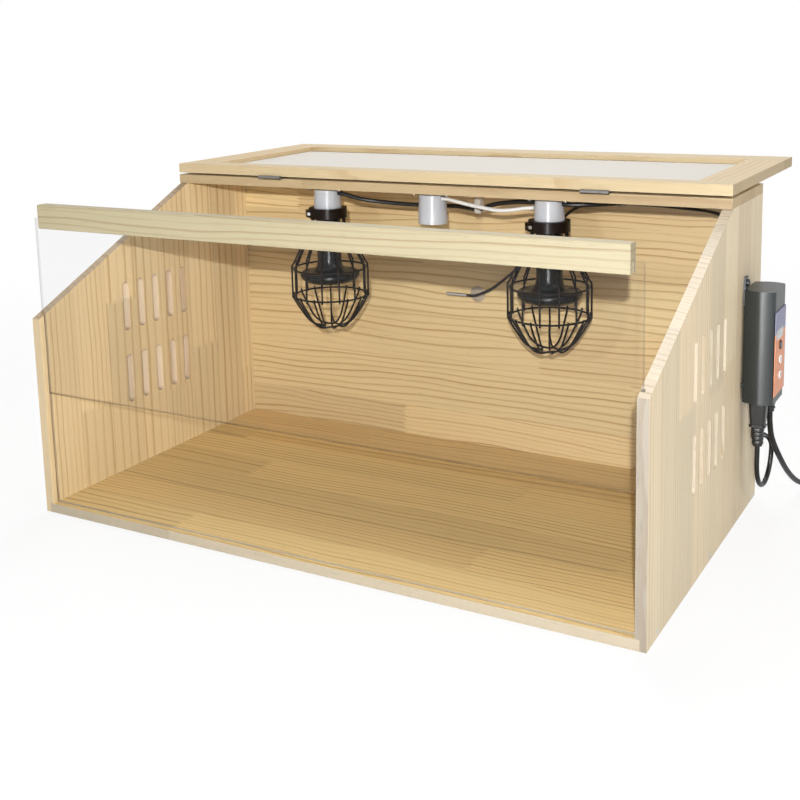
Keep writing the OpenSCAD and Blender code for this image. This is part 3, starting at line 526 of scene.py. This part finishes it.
finishes = {
    wood_back: ["back_panel"], wood_floor: ["floor_panel"], wood_left: ["side_left"], wood_right: ["side_right"],
    wood_top: ["top_board"], wood_bar: ["window_bar"], wood_rail: ["flap_near_rail", "flap_far_rail"],
    wood_stile: ["flap_left_rail", "flap_right_rail"], acrylic: ["window_sheet"], opal: ["flap_panel"],
    steel: ["side_screws", "hinge_pin_left", "hinge_pin_right", "collar_screws", "holder_plates",
            "probe_rod", "plug_pins"],
    hinge_metal: ["hinge_base_left", "hinge_base_right", "hinge_flap_left", "hinge_flap_right",
                  "hinge_screws_base", "hinge_screws_flap", "plate_screws", "socket_contact"],
    rubber: ["bumpers", "grommet"], ceramic: ["holder_left", "holder_mid", "holder_right"],
    black_wire: ["collar_left", "collar_right", "cage_left", "cage_right"],
    black_glaze: ["emitter_left", "emitter_right"],
    black_rubber: ["lead_lamps", "lead_riser", "probe_lead", "lamp_loop", "mains_lead", "mains_coil"],
    white_cord: ["lead_white", "coil_tie"], soft_clear: ["lead_clips", "probe_cup"],
    moulded: ["case", "hanger"], black_plastic: ["lamp_plug", "mains_gland", "mains_plug"],
    label: ["face_label"], glass_grey: ["display"], orange: ["keypad"], dark_button: ["button_top"],
    middle_button: ["button_middle"], low_button: ["button_low"],
}
for finish, names in finishes.items():
    for node in names:
        nodes[node].data.materials.clear()
        nodes[node].data.materials.append(finish)
for cord in (mains_cord, lamp_cord):
    cord.data.materials.append(black_rubber)


def dress(piece, finish, body, slot, *stands_for):
    """Gives a new piece its finish and its body, and hides the nodes that it stands for. slot is not used."""
    piece.data.materials.clear()
    piece.data.materials.append(finish)
    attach(piece, body)
    if stands_for:
        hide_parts(*stands_for)


# ---------------------------------------------------------------- wiring inside
lamps_run = rounded_route([
    (-148, 105, 385.5), (-138, 106, 384.5), (-115.5, 113, 377.7), (-80.85, 127, 372.3), (-24.75, 134.5, 370.5),
    (18.15, 132.5, 371.7), (46.2, 121, 371.7), (61.875, 117, 371.7), (85.8, 115, 379.5), (117.15, 113, 384.5),
    (138, 110, 385.5), (148, 110, 385.5)], 6)
white_run = rounded_route([
    (17, 100, 385.5), (25, 99, 385.5), (59.4, 94, 380.5), (102.3, 92, 375.5), (136, 96, 379.5),
    (148, 97, 380.5)], 6)
riser_run = rounded_route([
    (182, 105, 385.5), (192, 105, 385.5), (225, 119, 385.5), (278, 168, 385.5), (328, 192, 385.5),
    (358, 201, 383.5), (376, 202, 371.5), (384, 202, 349.5), (384, 202, 275.5), (384, 202, 152), (374, 202, 118),
    (370, 202, 102), (378, 202, 92), (386, 202, 92)], 6)
probe_run = rounded_route([
    (2, 199, 235), (12, 199, 235), (30, 199, 242), (50, 199, 254.5), (92, 199, 290.8), (130, 199, 332.7),
    (158, 199, 363.3), (192, 199, 374.5), (228, 199, 376.5), (308, 183, 376.5), (360, 164, 374.5),
    (378, 158, 363.8), (385, 158, 344.8), (385, 158, 308.3), (381, 158, 263.5), (382, 158, 252.7), (389, 158, 250),
    (402.5, 158, 250)], 6)
dress(wire("lamp_wiring", [lamps_run], 6), black_rubber, "cabinet", "black_cord", "lead_lamps")
dress(wire("white_wiring", [white_run], 5), white_cord, "cabinet", "white_cord", "lead_white")
dress(wire("riser_wiring", [riser_run], 6), black_rubber, "cabinet", "black_cord", "lead_riser")
dress(wire("probe_wiring", [probe_run], 4), black_rubber, "cabinet", "black_cord", "probe_lead")


# ---------------------------------------------------------------- shaping
def placed(name, mesh):
    """Turns a finished bmesh into a smooth object of the scene."""
    data = bpy.data.meshes.new(name)
    mesh.to_mesh(data)
    mesh.free()
    for face in data.polygons:
        face.use_smooth = True
    made = bpy.data.objects.new(name, data)
    scene.collection.objects.link(made)
    return made


def round_over(mesh, width, segments=2, sharp=35):
    """Rounds over the edges that turn by more than sharp degrees."""
    corners = [e for e in mesh.edges if e.is_manifold and e.calc_face_angle() > radians(sharp)]
    bmesh.ops.bevel(mesh, geom=corners, offset=width * MM, offset_type="OFFSET", affect="EDGES",
                    segments=segments, profile=0.5, material=-1, clamp_overlap=True)


def keep_flat(piece):
    """Keeps a piece's broad faces flat beside their rounded edges."""
    piece.modifiers.new("flat_faces", "WEIGHTED_NORMAL").weight = 100


# ---------------------------------------------------------------- lamps
UPRIGHTS, RING_POINTS = 14, 96
UPPER_RING, LOWER_RING = 279.7, 240.95  # heights
RING_RADIUS, CAGE_RADIUS = 50.5, 53
CAGE_WIRE = 2.6


def spun(name, profile, middle, steps=64):
    """Spins a profile of (radius, height) in millimetres about an upright axis."""
    mesh = bmesh.new()
    x, y = middle[0] * MM, middle[1] * MM
    corners = [mesh.verts.new((x + r * MM, y, z * MM)) for r, z in profile]
    edges = [mesh.edges.new(pair) for pair in zip(corners, corners[1:])]
    bmesh.ops.spin(mesh, geom=corners + edges, cent=(x, y, 0), axis=(0, 0, 1), angle=2 * pi, steps=steps,
                   use_merge=True)
    bmesh.ops.remove_doubles(mesh, verts=mesh.verts, dist=1e-6)
    bmesh.ops.recalc_face_normals(mesh, faces=mesh.faces)
    return placed(name, mesh)


def around(x, radius, degrees, height):
    """A point about a lamp's axis."""
    return (x + radius * cos(radians(degrees)), LAMP_Y + radius * sin(radians(degrees)), height)


def cage_wires(name, x, turn):
    """Uprights that end at the lower ring, and half as many crossed loops that form the basket under it."""
    step = 360 / UPRIGHTS
    upright = ((22.6, 351), (22.6, 345), (30.6, 327), (49, 289.7), (CAGE_RADIUS, UPPER_RING), (CAGE_RADIUS, 238))

    def leg(middle, side):
        a, dip = middle + side * 1.5 * step, side * 1.2
        return [around(x, radius, degrees, height) for radius, degrees, height in (
            (CAGE_RADIUS, a, 244), (CAGE_RADIUS, a, LOWER_RING), (48.2, a, 231.95), (41.2, a, 220.4),
            (32.6, a, 207.6 + dip / 2), (24, middle + side * 35, 200 + dip), (15.5, middle + side * 27, 197 + dip))]

    runs = []
    for k in range(UPRIGHTS):
        a = turn + step * (k + 0.5)
        runs.append(rounded_route([around(x, radius, a, height) for radius, height in upright], 5))
    for k in range(UPRIGHTS // 2):
        a = turn + step * (2 * k + 1.5)
        runs.append(rounded_route(leg(a, -1) + [around(x, 11, a, 196.6)] + leg(a, 1)[::-1], 5))
    return wire(name, runs, CAGE_WIRE, fine=3)


def cage_rings(name, x):
    """The two rings inside the uprights."""
    rings = [[around(x, RING_RADIUS, 360 * k / RING_POINTS, height) for k in range(RING_POINTS)]
             for height in (UPPER_RING, LOWER_RING)]
    return wire(name, rings, CAGE_WIRE, closed=True, fine=3)


emitter_profile = [(0, 378), (13, 378), (13, 352.4), (13.4, 352), (16, 352), (16.8, 351.2), (16.8, 292), (17, 288),
                   (17.6, 284.6), (18.8, 281.6), (20.8, 279.2), (23.6, 277.3), (27.1, 276), (30.7, 275.1),
                   (34.5, 274.7), (37.6, 274.8), (39.6, 274.3), (40.8, 273.2), (41.4, 271.6), (41.5, 270.4),
                   (41.2, 268.4), (40.2, 266), (38, 263.8), (34.5, 261.6), (30, 260.1), (24, 258.9), (16.5, 258.4),
                   (8, 258.1), (0, 258)]
for side, x, turn in (("left", -LAMP_X, 303), ("right", LAMP_X, 292)):
    dress(spun("emitter_body_" + side, emitter_profile, (x, LAMP_Y)), black_glaze, "cabinet", "black_ceramic",
          "emitter_" + side)
    dress(cage_wires("cage_wires_" + side, x, turn), black_wire, "cabinet", "black_wire", "cage_" + side)
    dress(cage_rings("cage_rings_" + side, x), black_wire, "cabinet", "black_wire")


# ---------------------------------------------------------------- eased edges
SIDE_FROM = 24  # how far from the case's middle its sides begin


def rounder_sides(place):
    """Gives the thermostat's two long sides a fuller curve, of radius 38 where CAD has 50."""
    def rise(radius, along):
        return radius - sqrt(radius ** 2 - along ** 2)

    x, y = place.x / MM - CASE_X, place.y / MM - CASE_Y
    if abs(y) > SIDE_FROM:
        place.y -= copysign(rise(38, x + 1) - rise(50, x - 4), y) * MM


def eased(node, width, body="cabinet", segments=2, reshape=None):
    """A copy of a CAD part, merged, with its sharp edges rounded over."""
    mesh = bmesh.new()
    mesh.from_mesh(nodes[node].data)
    bmesh.ops.remove_doubles(mesh, verts=mesh.verts, dist=1e-5)
    bmesh.ops.dissolve_limit(mesh, angle_limit=radians(0.5), verts=mesh.verts, edges=mesh.edges)
    for vert in mesh.verts if reshape else ():
        reshape(vert.co)
    round_over(mesh, width, segments)
    made = placed(node + "_eased", mesh)
    keep_flat(made)
    dress(made, nodes[node].data.materials[0], body, slots[node], node)
    return made


for node in ("back_panel", "floor_panel", "side_left", "side_right", "top_board"):
    eased(node, 0.7)
for node in ("flap_near_rail", "flap_far_rail", "flap_left_rail", "flap_right_rail"):
    eased(node, 0.8, "flap")
eased("window_bar", 3.0, "window", segments=4)
eased("case", 1.6, reshape=rounder_sides)
for node, width in (("hanger", 0.5), ("mains_gland", 0.5), ("holder_left", 0.6), ("holder_mid", 0.6),
                    ("holder_right", 0.6), ("collar_left", 0.5), ("collar_right", 0.5), ("holder_plates", 0.4)):
    eased(node, width)
plug_pieces = [eased("mains_plug", 1.5), eased("coil_tie", 0.3), nodes["plug_pins"]]
tuple(mains_run[0] * MM)
run_length(mains_run)
[tuple(p * MM) for p in mains_run]
for node, body in (("button_top", "top_button"), ("button_middle", "middle_button"), ("button_low", "low_button")):
    eased(node, 0.4, body)


# ---------------------------------------------------------------- lamp plug
def rounded_section(middle, height, half_x, half_y, corner):
    """The points round a rectangle with rounded corners."""
    points, steps = [], 6
    for i, (sx, sy) in enumerate(((1, 1), (-1, 1), (-1, -1), (1, -1))):
        for k in range(steps + 1):
            angle = radians(90 * (i + k / steps))
            points.append(Vector((middle[0] + sx * (half_x - corner) + corner * cos(angle),
                                  middle[1] + sy * (half_y - corner) + corner * sin(angle), height)) * MM)
    return points


def lofted(name, middle, sections):
    """A closed skin over rounded sections (height, half x, half y, corner), in millimetres."""
    mesh = bmesh.new()
    loops = []
    for section in sections:
        ring = [mesh.verts.new(point) for point in rounded_section(middle, *section)]
        loops.append([mesh.edges.new(pair) for pair in zip(ring, ring[1:] + ring[:1])])
    for lower, upper in zip(loops, loops[1:]):
        bmesh.ops.bridge_loops(mesh, edges=lower + upper)
    bmesh.ops.holes_fill(mesh, edges=loops[0] + loops[-1], sides=0)
    bmesh.ops.recalc_face_normals(mesh, faces=mesh.faces)
    round_over(mesh, 0.3, sharp=50)
    made = placed(name, mesh)
    keep_flat(made)
    return made


plug_sections = [(152, 10.6, 9, 4), (127, 8.9, 7.6, 3.6), (124.6, 8.6, 7.3, 3.6), (124, 9.8, 8.4, 4.4),
                 (121.4, 9.8, 8.4, 4.4), (121, 7.4, 6.8, 5.2)]
for rib in range(4):  # the ribs of the strain relief
    top, wide = 119.4 - rib * 5.4, 7.5 - rib * 0.25
    plug_sections += [(top, wide - 0.5, wide - 0.6, 5.2), (top - 0.5, wide, wide - 0.1, 5.6),
                      (top - 3.4, wide - 0.1, wide - 0.2, 5.6), (top - 3.9, wide - 1.0, wide - 1.0, 5.2)]
plug_sections.append((97, 5.6, 5.6, 5))
dress(lofted("lamp_plug_body", PLUG_AXIS, plug_sections), black_plastic, "cabinet", "black_plastic", "lamp_plug")


# ---------------------------------------------------------------- floor and light
def seen_rays(tree):
    """The rays that show the white surroundings: straight, mirrored, or through something clear."""
    straight, mirrored, through = (tree.node("ShaderNodeLightPath", out=ray) for ray in
                                   ("Is Camera Ray", "Is Glossy Ray", "Is Transmission Ray"))
    return straight.either(mirrored).either(through)


def set_floor():
    """A pale floor just below the object, which shows white away from it and keeps its shadow."""
    mesh = bmesh.new()
    bmesh.ops.create_grid(mesh, x_segments=1, y_segments=1, size=30)
    bmesh.ops.translate(mesh, verts=mesh.verts, vec=(0, 0, -MM / 2))
    floor = placed("studio_floor", mesh)
    f = Finish("studio_floor")
    f.set(base_color=(0.86, 0.86, 0.86, 1.0), roughness=0.9, specular_ior_level=0.0)
    glow = f.node("ShaderNodeEmission", {}, {"Color": WHITE, "Strength": 1.0})
    away = (f.x * f.x + f.y * f.y).ramp(0.5, 4.0, 0.82, 1.0)
    shown = f.node("ShaderNodeMixShader", {}, {0: seen_rays(f) * away, 1: Shade(f, f.shader.outputs[0]), 2: glow})
    f.feed(f.tree.nodes["Material Output"].inputs["Surface"], shown)
    floor.data.materials.append(f.material)


ROOM_LIGHT = 0.17


def set_room():
    """Even light from all round, in a room that shows white."""
    scene.world = bpy.data.worlds.new("studio")
    scene.world.use_nodes = True
    room = Nodes(scene.world.node_tree)
    room.tree.nodes.clear()
    dim = room.node("ShaderNodeBackground", {}, {"Color": WHITE, "Strength": ROOM_LIGHT})
    white = room.node("ShaderNodeBackground", {}, {"Color": WHITE, "Strength": 1.0})
    shown = room.node("ShaderNodeMixShader", {}, {0: seen_rays(room), 1: dim, 2: white})
    room.feed(room.tree.nodes.new("ShaderNodeOutputWorld").inputs["Surface"], shown)


def lamp(name, place, target, size, power, tall=None):
    """A round lamp, or a tall strip that only draws highlights."""
    light = bpy.data.lights.new(name, "AREA")
    light.shape = "DISK" if tall is None else "RECTANGLE"
    light.size = size
    light.energy = power
    made = bpy.data.objects.new(name, light)
    if tall is not None:
        light.size_y = tall
        made.visible_diffuse = False
    aim = (Vector(target) - Vector(place)).to_track_quat("-Z", "Y")
    made.matrix_world = Matrix.Translation(place) @ aim.to_matrix().to_4x4()
    scene.collection.objects.link(made)


set_floor()
set_room()
# name, place, target, size in metres, power in watts
lamp("key_light", (0.88, -1.65, 0.8), (0, 0, 0.25), 0.025, 34)
lamp("front_light", (0.0, -3.0, 1.16), (0.1, 0, 0.2), 0.25, 15)
lamp("side_light", (2.8, -0.6, 1.4), (0.4, 0, 0.15), 1.8, 24)
lamp("left_light", (-2.8, 0.7, 1.4), (-0.4, 0, 0.2), 1.8, 14)
lamp("overhead_light", (-0.4, 1.6, 2.4), (0, 0.2, 0.42), 1.6, 50)
lamp("strip_light", (0.42, -1.0, 0.16), (0.42, 0.125, 0.22), 0.05, 10.5, tall=0.3)

scene.view_settings.view_transform = "Standard"
bpy.context.view_layer.update()
